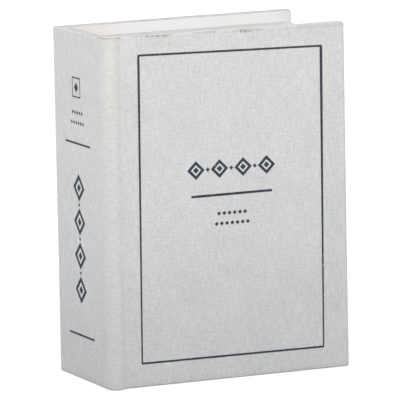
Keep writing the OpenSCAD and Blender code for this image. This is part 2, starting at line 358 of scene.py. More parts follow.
def weave(tree, coords):
    """The cloth's patterns by name, with "cross" for the crossing of the threads."""
    sockets = {}
    for name, (stretch, detail, rough, shift) in THREADS.items():
        sockets[name] = noise(tree, coords, (*stretch, 0.0), detail, rough, (*shift, 0.0))
    turn = 2 * math.pi / THREAD_PITCH
    across, along = (calc(tree, "SINE", times(tree, axis, turn)) for axis in split(tree, coords)[:2])
    sockets["cross"] = times(tree, across, along)
    return sockets


def weighted(tree, sockets, weights, base=0.0):
    """base plus the sum of weight times (value less 0.5)."""
    total = base
    for key, weight in weights.items():
        part = times(tree, calc(tree, "SUBTRACT", sockets[key], 0.5), weight)
        total = calc(tree, "ADD", part, total)
    return total


def span_mask(tree, value, spans, soft):
    """The strength of the span (low, high, strength) that the value lies in, with soft ends."""
    total = 0.0
    for low, high, strength in spans:
        part = times(tree, band(tree, value, low, high, soft), strength)
        total = calc(tree, "MAXIMUM", part, total)
    return total


def stepped(tree, value, places):
    """A value that runs straight from point to point of places, flat before and after them."""
    total = places[0][1]
    for (a, low), (b, high) in zip(places, places[1:]):
        total = calc(tree, "ADD", ramp(tree, value, a, b, 0.0, high - low, "LINEAR"), total)
    return total


def shaded(tree, total, mask, share):
    """total less a share of itself where the mask is 1."""
    return times(tree, total, calc(tree, "SUBTRACT", 1.0, times(tree, mask, share)))


def front_painted_light(tree, u, v):
    """Brightness of painted shade and painted light on spine, shoulder and front cover, and of a darker
    band under the head; 1 where there is none.
    """
    spine_head_shade = times(tree, fall(tree, u, *SPINE_HEAD_U), ramp(tree, v, *SPINE_HEAD_V))
    corner = times(tree, ramp(tree, u, *HEAD_CORNER_U), band(tree, v, *HEAD_CORNER_V, 0.6))
    fore_rim_shade = times(tree, ramp(tree, u, *FORE_RIM_U), ramp(tree, v, *FORE_RIM_V, 0.4, 1.0))
    shoulder = band(tree, u, *SHOULDER_U, SHOULDER_SOFT)
    flat_faces = calc(tree, "SUBTRACT", fall(tree, u, *LIT_MIDDLE_END_U), shoulder)
    low_joint_shade = times(tree, fall(tree, v, *LOW_V), fall(tree, u, *LOW_END_U))
    places = [
        # painted shade along the head's edge and the margin under it
        (band(tree, v, *HEAD_EDGE_V, 0.5), 0.03),
        (band(tree, v, *HEAD_MARGIN_V, 2.0), 0.02),
        # painted light: the middle of the height is paler on the flat faces
        (times(tree, band(tree, v, *LIT_MIDDLE_V, 25.0), flat_faces), -0.03),
        # painted shade low down on the spine, shoulder and groove
        (low_joint_shade, 0.03),
        # painted shade on the spine's head face
        (spine_head_shade, 0.16),
        # a darker band under the head towards the fore-edge
        (corner, 0.09),
        # painted shade on the fore-edge's rounding, more of it higher up
        (fore_rim_shade, 0.12),
        # a painted highlight just inside the fore-edge's rounding
        (band(tree, u, *FORE_HIGHLIGHT_U, 0.4), -0.03),
        # painted shade on the rounding of the spine's back corner
        (fall(tree, u, *SPINE_BACK_U), 0.10),
    ]
    total = 1.0
    for mask, share in places:
        total = shaded(tree, total, mask, share)
    return total


def back_grey_edges(tree, u, v):
    """Brightness of the back piece: its head and fore-edge and the turn-ins beyond them are greyer."""
    edges = calc(tree, "MAXIMUM", ramp(tree, v, *BACK_HEAD_V), ramp(tree, u, *BACK_FORE_U))
    return shaded(tree, 1.0, edges, BACK_EDGE_SHARE)


def front_pattern(tree, u, threads):
    """(brightness, colour) of the front piece: the shoulder is paler and ribbed, the spine streaked."""
    on_shoulder = band(tree, u, *SHOULDER_U, SHOULDER_SOFT)
    faces = (COVER_WEAVE, SPINE_WEAVE, SHOULDER_WEAVE)
    cover, spine, shoulder = (weighted(tree, threads, face, 1.0) for face in faces)
    flat = between(tree, fall(tree, u, *SPINE_END_U), cover, spine)
    brightness = between(tree, on_shoulder, flat, shoulder)
    return brightness, tint(tree, on_shoulder, CLOTH_COLOUR, SHOULDER_COLOUR)


def rubbed_rim(tree, coords, u, v, colour):
    """The head's rim, where the cloth is rubbed through in places."""
    wander = noise(tree, coords, (0.35, 0.0, 0.0), 3.0, 0.7, (2.0, 0.0, 0.0))
    broken = noise(tree, coords, (0.9, 0.5, 0.0), 2.0, 0.7, (9.0, 0.0, 0.0))
    flecks = noise(tree, coords, (0.6, 0.4, 0.0), 2.0, 0.6, (13.0, 41.0, 0.0))
    place = calc(tree, "SUBTRACT", v, stepped(tree, u, RIM_WANDER))
    over_rim = times(tree, ramp(tree, place, *BARE_V), fall(tree, v, *BARE_END_V))
    bare = times(tree, span_mask(tree, u, BARE_SPANS, 4.0), ramp(tree, wander, 0.25, 0.6))
    colour = tint(tree, times(tree, over_rim, bare), colour, BARE_COLOUR)
    worn = times(tree, span_mask(tree, u, WORN_SPANS, 2.0), ramp(tree, broken, 0.30, 0.62, 0.25))
    line = times(tree, band(tree, place, *WORN_V, RIM_SOFT), times(tree, worn, WORN_SHARE))
    colour = tint(tree, line, colour, WORN_COLOUR)
    specks = times(tree, span_mask(tree, u, SPECK_SPANS, 1.0), ramp(tree, flecks, 0.44, 0.56))
    return tint(tree, times(tree, band(tree, place, *SPECK_V, RIM_SOFT), specks), colour, SPECK_COLOUR)


def cloth_material(name, is_front):
    """The linen of the front piece, with spine, shoulder, wear, painted shade and painted light in it,
    or of the back piece.
    """
    material, tree, shader = new_material(name, 0.88, 0.12)
    coords = map_coords(tree)
    u, v, _ = split(tree, coords)
    threads = weave(tree, coords)
    if is_front:
        pattern, base = front_pattern(tree, u, threads)
        shade_and_tone = front_painted_light(tree, u, v)
    else:
        pattern, base = weighted(tree, threads, COVER_WEAVE, 1.0), CLOTH_COLOUR
        shade_and_tone = back_grey_edges(tree, u, v)
    brightness = calc(tree, "ADD", pattern, times(tree, threads["cross"], CROSS_SHADE))
    # the front piece's factor is mostly painted shade and painted light; the back piece's greys its
    # edges
    colour = scaled(tree, base, times(tree, brightness, shade_and_tone))
    if is_front:
        colour = rubbed_rim(tree, coords, u, v, colour)
    paint(tree, shader, colour)
    height = weighted(tree, threads, CLOTH_RELIEF)
    height = calc(tree, "ADD", height, times(tree, threads["cross"], CROSS_RELIEF))
    emboss(tree, shader, height, 0.00009, 0.8)
    shader.inputs["Sheen Weight"].default_value = CLOTH_SHEEN
    return material


def ink_material():
    """The print, pressed into the threads and broken by them."""
    material, tree, shader = new_material("pressed print", 0.72, 0.2)
    threads = weave(tree, map_coords(tree))
    bare = ramp(tree, weighted(tree, threads, INK_GAPS, 0.5), 0.86, 1.12, 0.0, 0.8)
    ink = scaled(tree, INK_COLOUR, weighted(tree, threads, INK_SHADE, 1.0))
    paint(tree, shader, tint(tree, bare, ink, CLOTH_COLOUR))
    emboss(tree, shader, weighted(tree, threads, INK_RELIEF), 0.00006, 0.8)
    return material


def paper_material(name, colour, coords_of, lined=False, gutter_colour=None):
    """Paper with fine fibres, or lined with page edges that run along U.

    With a gutter colour it takes that towards the spine, and painted shade makes it a little greyer at
    the fore-edge.
    """
    material, tree, shader = new_material(name, 0.82, 0.15)
    coords = coords_of(tree)
    fibre = noise(tree, coords, (0.9, 0.9, 0.9), 4.0, 0.7)
    cloud = noise(tree, coords, (0.03, 0.03, 0.03), 3.0, 0.5, (4.0, 2.0, 0.0))
    total = weighted(tree, {"fibre": fibre, "cloud": cloud}, {"fibre": 0.05, "cloud": 0.06}, 1.0)
    height = fibre
    if lined:
        height = noise(tree, coords, (0.012, PAGE_LINE_WAVES, 0.012), 2.0, 0.75, (1.0, 3.0, 8.0))
        lines = times(tree, calc(tree, "SUBTRACT", height, 0.5), PAGE_LINE_SHADE)
        total = calc(tree, "ADD", total, lines)
    if gutter_colour is not None:
        x, _, _ = split(tree, coords)
        # painted shade at the fore-edge
        total = times(tree, total, ramp(tree, x, *LINING_SHADE_X, 1.0, LINING_SHADE))
        colour = tint(tree, ramp(tree, x, *GUTTER_X), gutter_colour, colour)
    paint(tree, shader, scaled(tree, colour, total))
    emboss(tree, shader, height, 0.00004, 0.5)
    return material


def board_material():
    material, tree, shader = new_material("raw fibreboard", 0.9, 0.1)
    coords = object_coords(tree)
    fibre = noise(tree, coords, (1.4, 1.4, 1.4), 5.0, 0.75)
    cloud = noise(tree, coords, (0.08, 0.08, 0.08), 2.0, 0.5)
    total = weighted(tree, {"fibre": fibre, "cloud": cloud}, {"fibre": 0.7, "cloud": 0.3}, 1.0)
    paint(tree, shader, scaled(tree, BOARD_COLOUR, total))
    emboss(tree, shader, fibre, 0.0001, 0.6)
    return material


def magnet_material():
    material, tree, shader = new_material("nickel plate", 0.3, 0.5, 1.0)
    brushed = noise(tree, object_coords(tree), (0.4, 9.0, 9.0), 3.0, 0.6)
    total = weighted(tree, {"brushed": brushed}, {"brushed": 0.3}, 1.0)
    paint(tree, shader, scaled(tree, MAGNET_COLOUR, total))
    return material


CLOTH = cloth_material("linen book cloth", True)
BACK_CLOTH = cloth_material("linen book cloth of the back cover", False)
INK = ink_material()
LINING = paper_material("lining paper", LINING_COLOUR, map_coords, gutter_colour=GUTTER_COLOUR)
LINING_CAD = paper_material("lining paper of the tray", LINING_COLOUR, object_coords)
# page edges darkened by painted shade of the recess
PAGES = paper_material("page edges", SHADED_PAGE_COLOUR, map_coords, lined=True)
PAGES_CAD = paper_material("page paper on the rim", RIM_PAPER_COLOUR, object_coords)
BOARD = board_material()
MAGNET = magnet_material()


# Case cloth: a rung outline swept along stations, from the spine's back corner to a fore-edge

ROW_Z = np.linspace(4.0, 236.0, 49)
ARC_STEPS = 4
# Points on one side of a rung: its rows, two rounded rims and two points in the middle
HALF_RING = len(ROW_Z) + 2 * (ARC_STEPS + 1) + 2
# Where those two lie, as a share of the rung's width from its side
MID_SHARE = 0.375
# Most of a rung's width that the cloth takes, and limits of the rims' radii
SKIN_SHARE = 0.36
RIM_SHARE = 0.42
SPAN_SHARE = 0.45
LEAST_R = 0.05
# Distances from the fore-edge of the last stations, which round it off
END_STEPS = (1.7, 1.3, 1.0, 0.72, 0.48, 0.28, 0.12, 0.03, 0.0)
NEAR_END = 3.0

# Waves of the cloth's edge at head and tail, and where they fade
HEAD_WAVE = waves(11, 7, 90.0, 7.0)
TAIL_WAVE = waves(12, 6, 90.0, 9.0)
HEAD_WAVE_H = 0.14
TAIL_WAVE_H = 0.04
FADE = 12.0
# How far the cloth rises at the head, as (U, mm): most over the shoulder
HEAD_RISE = ((88.0, 0.0), (94.0, 0.55), (112.0, 0.5), (134.0, 0.35), (143.0, 0.0))

# The case in plan. Each rung joins a point of the outer line to one of the inner line.
SPINE_CORNER = (0.264, 85.736)
SPINE_START = (((0.07, 85.45), (9.0, 79.7)), ((0.0, 85.1), (9.0, 79.6)))
SPINE_Y = np.linspace(79.0, 8.0, 17)
SPINE_END = ((0.0, 5.6), (9.0, 6.9))
SHOULDER_BACK = (
    (9.0, 6.2), (9.3, 6.2), (9.7, 6.2), (10.1, 6.2), (10.6, 6.2), (11.1, 6.2), (11.6, 6.12),
    (11.95, 5.6), (12.2, 4.8), (12.35, 4.0), (12.4, 3.2), (12.25, 2.2), (12.0, 1.2),
)
# The shoulder's outer line is an arc over this many degrees
ARC_START = 180.0
ARC_SPAN = 131.0
GROOVE = (
    ((11.05, -0.68), (12.1, 1.15)), ((11.6, -0.33), (12.2, 1.12)), ((12.1, -0.08), (12.4, 1.1)),
    ((12.5, 0.08), (12.6, 1.1)), ((12.95, 0.17), (12.95, 1.1)), ((13.39, 0.18), (13.39, 1.1)),
)
COVER_START = ((13.4, 0.18), (13.9, 0.14), (14.5, 0.07), (15.2, 0.02), (16.0, 0.0))
COVER_X = np.linspace(19.0, 176.0, 36)
BACK_START = (((0.55, 85.93), (9.1, 79.8)), ((0.9, 86.0), (9.2, 79.8)))
BACK_COVER_X = np.linspace(10.0, 173.5, 38)
JOINT_X = 12.0


def half_ring(edge, sign, radius, width, z_low, z_high):
    """One side of a rung in (distance, Z), from the middle of the tail face to that of the head's."""
    inner = edge + sign * MID_SHARE * width
    centre = edge + sign * radius
    turns = [0.5 * math.pi * k / ARC_STEPS for k in range(ARC_STEPS + 1)]
    tail = [(centre - sign * radius * math.sin(t), z_low + radius * (1 - math.cos(t))) for t in turns]
    head = [(centre - sign * radius * math.cos(t), z_high - radius * (1 - math.sin(t))) for t in turns]
    return [(inner, z_low), *tail, *((edge, z) for z in ROW_Z), *head, (inner, z_high)]


def rung_outline(width, low, high, drop, skin):
    """Outline of one rung: its outer half going up, then its inner half coming down."""
    z_low, z_high = drop + skin, BOOK_H - drop - skin
    span = high - low

    def limited(radius):
        return min(max(min(radius, RIM_SHARE * width) - skin, LEAST_R), SPAN_SHARE * span)

    outer = half_ring(low, 1.0, limited(RIM_R), span, z_low, z_high)
    inner = half_ring(high, -1.0, limited(INNER_RIM_R), span, z_low, z_high)
    return outer + inner[::-1]


def rim_drop(radius, e):
    """(inset, cosine, sine) of a rounded rim at distance e from the end face."""
    if e >= radius:
        return 0.0, 1.0, 0.0
    sine = (radius - e) / radius
    cosine = math.sqrt(1 - sine * sine)
    return radius * (1 - cosine), cosine, sine


def ring_layers(station):
    """Points of the cloth's outer side and of its glued side, at one station of the sweep."""
    (ox, oy), (ix, iy), e = station["outer"], station["inner"], station["end"]
    width = math.hypot(ix - ox, iy - oy)
    dx, dy = (ix - ox) / width, (iy - oy) / width
    inset, cosine, sine = rim_drop(RIM_R, e)
    drop, drop_cosine, _ = rim_drop(CORNER_R, e)
    skin = min(CLOTH_T, SKIN_SHARE * width)
    head_lift = station["rise"] + HEAD_WAVE_H * float(HEAD_WAVE(station["u"])) * station["calm"]
    tail_lift = TAIL_WAVE_H * (float(TAIL_WAVE(station["u"])) + 1.0) * station["calm"]
    layers = []
    for depth in (0.0, skin):
        low = inset + depth * cosine
        high = width - inset - depth * cosine
        shift = depth * sine
        points = []
        for s, z in rung_outline(width, low, high, drop, depth * drop_cosine):
            lift = head_lift * smooth_step((z - BOOK_H + FADE) / FADE)
            lift += tail_lift * smooth_step((FADE - z) / FADE)
            points.append((ox + dx * s - shift, oy + dy * s, z + lift))
        layers.append(points)
    return layers


def ring_lengths(ring):
    """V of the map at each point of a ring and again at its start, 0 at the tail's outer edge."""
    steps = [math.dist(a, b) for a, b in zip(ring, ring[1:] + ring[:1])]
    start = -MID_SHARE * math.dist(ring[0], ring[-1]) / (1 - 2 * MID_SHARE)
    return np.concatenate([[0.0], np.cumsum(steps)]) + start


def swept_faces(stations, rings, window):
    """Faces and map of the outer side between the rings, without those in the window."""
    lengths = [ring_lengths(ring) for ring in rings]
    count = 2 * HALF_RING
    inner_rows = range(HALF_RING + ARC_STEPS + 1, count - ARC_STEPS - 2)
    faces, uvs = [], []
    for j in range(len(stations) - 1):
        u0, u1 = stations[j]["u"], stations[j + 1]["u"]
        for k in range(count):
            n = (k + 1) % count
            z = 0.5 * (rings[j][k][2] + rings[j][n][2])
            if k in inner_rows and window(stations[j], z) and window(stations[j + 1], z):
                continue
            faces.append((j * count + k, j * count + n, (j + 1) * count + n, (j + 1) * count + k))
            a0, a1 = lengths[j][k], lengths[j][k + 1]
            b0, b1 = lengths[j + 1][k], lengths[j + 1][k + 1]
            uvs.append([(u0, a0), (u0, a1), (u1, b1), (u1, b0)])
    return faces, uvs


def end_cap(ring, base, u_end):
    """Faces and map that close the last ring; base is the number of its first point."""
    faces, uvs = [], []
    for k in range(HALF_RING - 1):
        m = 2 * HALF_RING - 1 - k
        around = (k, k + 1, m - 1, m)
        faces.append(tuple(base + q for q in around))
        uvs.append([(u_end + abs(ring[q][1] - ring[k][1]), ring[q][2]) for q in around])
    return faces, uvs


def with_glued_side(faces, uvs, total):
    """Those faces, the glued side's, total points on, and strips along the open edges."""
    edges = {edge for face in faces for edge in zip(face, face[1:] + face[:1])}
    shell, shell_uvs = list(faces), list(uvs)
    for face, uv in zip(faces, uvs):
        shell.append(tuple(i + total for i in reversed(face)))
        shell_uvs.append(list(reversed(uv)))
        for c in range(4):
            a, b = face[c], face[(c + 1) % 4]
            if (b, a) not in edges:
                shell.append((b, a, a + total, b + total))
                ua, ub = uv[c], uv[(c + 1) % 4]
                shell_uvs.append([ub, ua, ua, ub])
    return shell, shell_uvs


def looks_inwards(points, quads):
    """True if the faces look inwards, by their signed volume."""
    p = np.array(points)
    a, b, c, d = (p[k] for k in np.array(quads).T)
    return (a * np.cross(b, c)).sum() + (a * np.cross(c, d)).sum() < 0


def sweep(name, stations, window, material):
    """The case cloth along the stations, glued side and all, but none where window(station, z)."""
    layers = [ring_layers(s) for s in stations]
    rings = [ring for ring, _ in layers]
    outer = [p for ring in rings for p in ring]
    glued = [p for _, ring in layers for p in ring]
    faces, uvs = swept_faces(stations, rings, window)
    cap_faces, cap_uvs = end_cap(rings[-1], len(outer) - 2 * HALF_RING, stations[-1]["u"])
    faces += cap_faces
    uvs += cap_uvs
    shell, shell_uvs = with_glued_side(faces, uvs, len(outer))
    if looks_inwards(outer, faces):
        shell = [tuple(reversed(f)) for f in shell]
        shell_uvs = [list(reversed(u)) for u in shell_uvs]
    return build(name, outer + glued, shell, shell_uvs, material)


def line_lengths(points):
    """Length of the line up to each of its points."""
    values = [0.0]
    for p, q in zip(points, points[1:]):
        values.append(values[-1] + math.dist(p, q))
    return values


def as_stations(pairs, fore_x, fore_y, fore_u=None):
    """Stations from (outer, inner) pairs and a rounded fore-edge at fore_x, between the faces fore_y.

    With fore_u the map ends there and the head rises. Without it the map starts at 0.
    """
    ends = [math.inf] * len(pairs) + list(END_STEPS)
    pairs = pairs + [tuple((fore_x - e, y) for y in fore_y) for e in END_STEPS]
    u = line_lengths([outer for outer, _ in pairs])
    shift = 0.0 if fore_u is None else fore_u - u[-1]
    made = []
    for (outer, inner), e, place in zip(pairs, ends, u):
        calm = 0.0 if e < NEAR_END else 1.0
        rise = 0.0 if fore_u is None else float(np.interp(place + shift, *zip(*HEAD_RISE)))
        made.append(dict(outer=outer, inner=inner, end=e, u=place + shift, calm=calm, rise=rise))
    made[0]["calm"] = 0.0
    return made


def arc_point(turn):
    angle = math.radians(turn)
    return (SHOULDER_X + SHOULDER_R * math.cos(angle), SHOULDER_Y + SHOULDER_R * math.sin(angle))


def front_stations():
    """From the spine's back corner over spine, shoulder and groove to the front cover's fore-edge."""
    pairs = [(SPINE_CORNER, (SPINE_INNER_X, BACK_INNER_Y)), *SPINE_START]
    pairs += [((0.0, y), (SPINE_INNER_X, y)) for y in SPINE_Y]
    pairs.append(SPINE_END)
    for k, back in enumerate(SHOULDER_BACK):
        pairs.append((arc_point(ARC_START + ARC_SPAN * k / (len(SHOULDER_BACK) - 1)), back))
    pairs += list(GROOVE)
    pairs += [((x, y), (x, COVER_INNER_Y)) for x, y in COVER_START]
    pairs += [((x, 0.0), (x, COVER_INNER_Y)) for x in COVER_X]
    return as_stations(pairs, BOOK_W, (0.0, COVER_INNER_Y), COVER_MAP_START + BOOK_W)


def back_stations():
    """From the spine's back corner over the back cover to its fore-edge."""
    pairs = [(SPINE_CORNER, (SPINE_INNER_X, BACK_INNER_Y)), *BACK_START]
    pairs += [((x, BOOK_D), (x, BACK_INNER_Y)) for x in BACK_COVER_X]
    return as_stations(pairs, BACK_X, (BOOK_D, BACK_INNER_Y))


def front_window(station, z):
    """The boards' inner sides have no cloth between the turn-ins."""
    x = station["inner"][0]
    on_joint = JOINT_X < x < COVER_EDGE_X
    return TURN_IN < z < BOOK_H - TURN_IN and x < BOOK_W - TURN_IN and not on_joint


def back_window(station, z):
    return TURN_IN < z < BOOK_H - TURN_IN and station["inner"][0] < BACK_X - TURN_IN


def case_cloth():
    front = sweep("front_case_cloth", front_stations(), front_window, CLOTH)
    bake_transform(front)
    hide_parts("front_cloth", "shoulder_cloth", "hinge_cloth", "spine_cloth")

    back = sweep("back_case_cloth", back_stations(), back_window, BACK_CLOTH)
    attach(back, "case")
    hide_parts("back_cloth")


# Papers

# Outlines of the linings and step of their grids
FRONT_LINING_X = (14.0, 179.4)
BACK_LINING_X = (9.3, 176.6)
SPINE_LINING_Y = (7.0, 79.6)
LINING_Z = (0.6, 239.4)
BACK_LINING_Z = (0.9, 239.1)
LINING_STEP = 8.0
# The step where a turn-in ends under the paper
TURN_IN_STEP = 0.45
TURN_IN_SOFT = 1.5
# Under the tray the paper lies deeper
TRAY_INSET = 0.1
TRAY_SOFT = 0.5
TRAY_LINES_Z = (TRAY_Z[0] + 0.1, TRAY_Z[0] + 0.6, TRAY_Z[1] - 0.6, TRAY_Z[1] - 0.1)
BACK_SINK = 0.36
SPINE_SINK = 0.16

# Paper hinge inside, in plan, from the shoulder's back to the front cover
STRIP_PATH = (
    (9.4, 6.32), (10.6, 6.32), (11.6, 6.26), (12.08, 5.72), (12.36, 4.9), (12.5, 4.0), (12.55, 3.2),
    (12.45, 2.3), (12.4, 1.6), (12.52, 1.34), (12.7, 1.26), (12.9, 1.24), (13.1, 1.27), (13.24, 1.4),
    (13.28, 2.0), (13.28, 4.2), (13.28, 5.9), (13.34, 6.25), (13.7, 6.42), (14.6, 6.44), (19.0, 6.44),
    (24.0, 6.44),
)
STRIP_T = 0.1
STRIP_Z = (0.7, 239.3)
STRIP_STEP = 10.0

# The page block's leaves
LEAF_PITCH = 0.8
LEAF_WIDTHS = (0.7, 1.35)
LEAF_DEPTHS = (0.03, 0.12)
LEAF_LEVELS = (0.0, 0.06)
LEAF_STEP = 9.0
LEAF_DRIFT = 0.02
PAGE_STRIP_T = 0.42


def grid_solid(name, us, vs, face_point, back_point, material, sharp=40.0):
    """A thin closed solid over the grid us by vs, from two functions of (u, v) for its two sides."""
    grid = [(u, v) for v in vs for u in us]
    row, total = len(us), len(grid)
    points = [face_point(*p) for p in grid] + [back_point(*p) for p in grid]
    faces = []
    for start in range(0, total - row, row):
        for k in range(start, start + row - 1):
            quad = (k, k + 1, k + row + 1, k + row)
            faces += [quad, tuple(q + total for q in reversed(quad))]
    border = [*range(row), *range(2 * row - 1, total, row)]
    border += [*range(total - 2, total - row - 1, -1), *range(total - 2 * row, 0, -row)]
    for a, b in zip(border, border[1:] + border[:1]):
        faces.append((b, a, a + total, b + total))
    uvs = [[grid[q % total] for q in face] for face in faces]
    return turned_out(build(name, points, faces, uvs, material, sharp))


def turned_out(made):
    """A closed piece of quads, turned if its faces look inwards."""
    mesh = made.data
    if looks_inwards([tuple(v.co) for v in mesh.vertices], [tuple(p.vertices) for p in mesh.polygons]):
        mesh.flip_normals()
    return made


def lines_with(low, high, step, extra=()):
    """Grid lines from low to high about step apart, with the extra ones put in."""
    count = max(2, round((high - low) / step) + 1)
    values = list(np.linspace(low, high, count))
    for value in extra:
        values = [v for v in values if abs(v - value) > 0.3 * step or v in (low, high)]
        values.append(value)
    return sorted(set(values))


def lining(name, us, vs, point, depth, thickness):
    """Lining paper whose face lies at depth(u, v); point(u, v, depth) places it."""

    def face(u, v):
        return point(u, v, depth(u, v))

    def back(u, v):
        return point(u, v, depth(u, v) + thickness)

    return grid_solid(name, us, vs, face, back, LINING)


def front_lining():
    """Paper over the front cover's inner side and its turn-ins; a faint step shows where they end."""
    edge_x, low_z, high_z = BOOK_W - TURN_IN, TURN_IN, BOOK_H - TURN_IN
    soft = TURN_IN_SOFT
    us = lines_with(*FRONT_LINING_X, LINING_STEP, (edge_x - soft, edge_x, edge_x + 1))
    beside = (low_z - 1, low_z, low_z + soft, high_z - soft, high_z, high_z + 1)
    vs = lines_with(*LINING_Z, LINING_STEP, beside)

    def depth(x, z):
        inside = min(edge_x - x, z - low_z, high_z - z)
        return COVER_INNER_Y + PAPER_T - TURN_IN_STEP * smooth_step(inside / soft)

    made = lining("front_lining", us, vs, on_cover, depth, -PAPER_T)
    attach(made, "front_cover")
    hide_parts("front_liner")


def back_lining():
    """Paper over the back cover's inner side; it lies a little deeper under the tray."""
    us = lines_with(*BACK_LINING_X, LINING_STEP, (TRAY_FORE_X - 0.6, TRAY_FORE_X - 0.1))
    vs = lines_with(*BACK_LINING_Z, LINING_STEP, TRAY_LINES_Z)

    def depth(x, z):
        inside = min(TRAY_FORE_X - x, z - TRAY_Z[0], TRAY_Z[1] - z) - TRAY_INSET
        return BACK_INNER_Y - PAPER_T + BACK_SINK * smooth_step(inside / TRAY_SOFT)

    made = lining("back_lining", us, vs, on_cover, depth, PAPER_T)
    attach(made, "case")
    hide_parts("back_liner")


def spine_lining():
    """Paper over the spine's inner side; it lies a little deeper behind the tray."""
    us = lines_with(*SPINE_LINING_Y, LINING_STEP)
    vs = lines_with(*LINING_Z, LINING_STEP, TRAY_LINES_Z)

    def depth(_, z):
        inside = min(z - TRAY_Z[0], TRAY_Z[1] - z) - TRAY_INSET
        return SPINE_INNER_X + PAPER_T - SPINE_SINK * smooth_step(inside / TRAY_SOFT)

    made = lining("spine_lining", us, vs, on_spine, depth, -PAPER_T)
    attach(made, "case")
    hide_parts("spine_liner")


def joint_strip():
    """The paper hinge inside, with the map's U along its path."""
    path = [Vector(p) for p in STRIP_PATH]
    turns = [(b - a).normalized() for a, b in zip(path[:1] + path, path[1:] + path[-1:])]
    normals = [Vector((d.y, -d.x)) for d in turns]
    length = line_lengths([tuple(p) for p in path])
    place_of = {u: k for k, u in enumerate(length)}

    def face(u, z, offset=0.0):
        k = place_of[u]
        p = path[k] + normals[k] * offset
        return (p.x, p.y, z)

    def back(u, z):
        return face(u, z, STRIP_T)

    vs = lines_with(*STRIP_Z, STRIP_STEP)
    made = grid_solid("inner_joint_strip", length, vs, face, back, LINING, 60.0)
    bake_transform(made)
    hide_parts("hinge_liner")


def ridge_heights(seed, low, high, pitch):
    """(places, depths) across a page strip: irregular leaves, each a small rounded ridge."""
    rng = np.random.default_rng(seed)
    places, depths = [low], [0.0]
    place = low
    while place < high - 1.6 * pitch:
        width = pitch * rng.uniform(*LEAF_WIDTHS)
        depth = rng.uniform(*LEAF_DEPTHS)
        level = rng.uniform(*LEAF_LEVELS)
        places += [place + 0.12 * width, place + 0.5 * width, place + 0.88 * width, place + width]
        depths += [level + 0.01, level, level + 0.01, level + depth]
        place += width
    places.append(high)
    depths.append(0.0)
    return places, depths


def page_strip(name, node, seed, along_low, along_high, point):
    """A page-effect strip: ridges across the depth of the block, running along its edge."""
    low, high = map(in_book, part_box(node))
    ys, depths = ridge_heights(seed, low[1], high[1], LEAF_PITCH)
    depth_at = dict(zip(ys, depths))
    drift = waves(seed + 1, 5, 120.0, 18.0)

    def face(run, y):
        edge = min(run - along_low, along_high - run)
        give = 0.0 if edge < 1.0 else LEAF_DRIFT * (1 + float(drift(run + 3.0 * y)))
        return point(run, y, depth_at[y] + give)

    def back(run, y):
        return point(run, y, PAGE_STRIP_T)

    made = grid_solid(name, lines_with(along_low, along_high, LEAF_STEP), ys, face, back, PAGES, 50.0)
    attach(made, "case")
    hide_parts(node)


def page_strips():
    (x_low, _, _), (x_high, _, head_z) = map(in_book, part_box("head_pages"))
    tail_z = in_book(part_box("tail_pages")[0])[2]
    (_, _, z_low), (fore_x, _, z_high) = map(in_book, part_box("fore_pages"))
    page_strip("head_leaves", "head_pages", 21, x_low, x_high, lambda x, y, d: (x, y, head_z - d))
    page_strip("tail_leaves", "tail_pages", 22, x_low, x_high, lambda x, y, d: (x, y, tail_z + d))
    page_strip("fore_leaves", "fore_pages", 23, z_low, z_high, lambda z, y, d: (fore_x - d, y, z))


# Print

# The printed frame is a little crooked. Its corners are (X, Z) on the cover, at the hinge and the
# fore-edge, and its lines reach past them by the first and second end value.
FRAME_HEAD = ((26.2, 227.4), (162.3, 224.4))
FRAME_TAIL = ((24.3, 16.4), (160.7, 15.5))
HEAD_LINE_ENDS = (0.6, 0.75)
TAIL_LINE_ENDS = (0.4, 0.38)
SIDE_LINE_ENDS = (-0.57, -0.6)
# Widths of its lines; the upright ones are thinner at the tail
HEAD_LINE_W = 1.42
TAIL_LINE_W = 1.38
HINGE_LINE_W = (1.1, 1.7)
FORE_LINE_W = (1.0, 2.1)

# The other print on the cover; a chain is (lozenge height, line, bead, gap)
COVER_MID_X = 93.4
ORNAMENT_Z = 145.7
COVER_CHAIN = (13.0, 1.9, 4.4, 0.8)
RULE_Z = 127.7
RULE_W = 1.7
HALF_RULE = 30.2
ROWS_Z = 111.3
ROW_COUNT = 7

# The print on the spine
SPINE_MID_Y = 46.2
SQUARE_Y = 47.2
SQUARE_Z = 202.1
SQUARE_W = 14.0
SQUARE_LINE_W = 0.9
SQUARE_LOZENGE_W = 7.0
SPINE_ROWS_Z = 181.3
SPINE_ROW_COUNT = 6
SPINE_RULES_Z = (163.5, 30.7)
SPINE_RULE_W = 1.4
SPINE_HALF_RULE = 21.5
SPINE_ORNAMENT_Z = 97.7
SPINE_CHAIN = (19.0, 2.6, 6.0, 0.8)

FRAMED_COUNT = 4
SMALL_W = 3.0
SMALL_STEP = 3.9
ROW_STEP = 7.0
# Slices of bars and lozenges, and how ragged their edges are
BAR_SLICE = 0.8
LOZENGE_SLICE = 0.35
FRAMED_SLICE = 0.6
RAGGED = 0.055
LOZENGE_RAGGED = 0.04
FRAMED_RAGGED = 0.05
TIP = 0.03


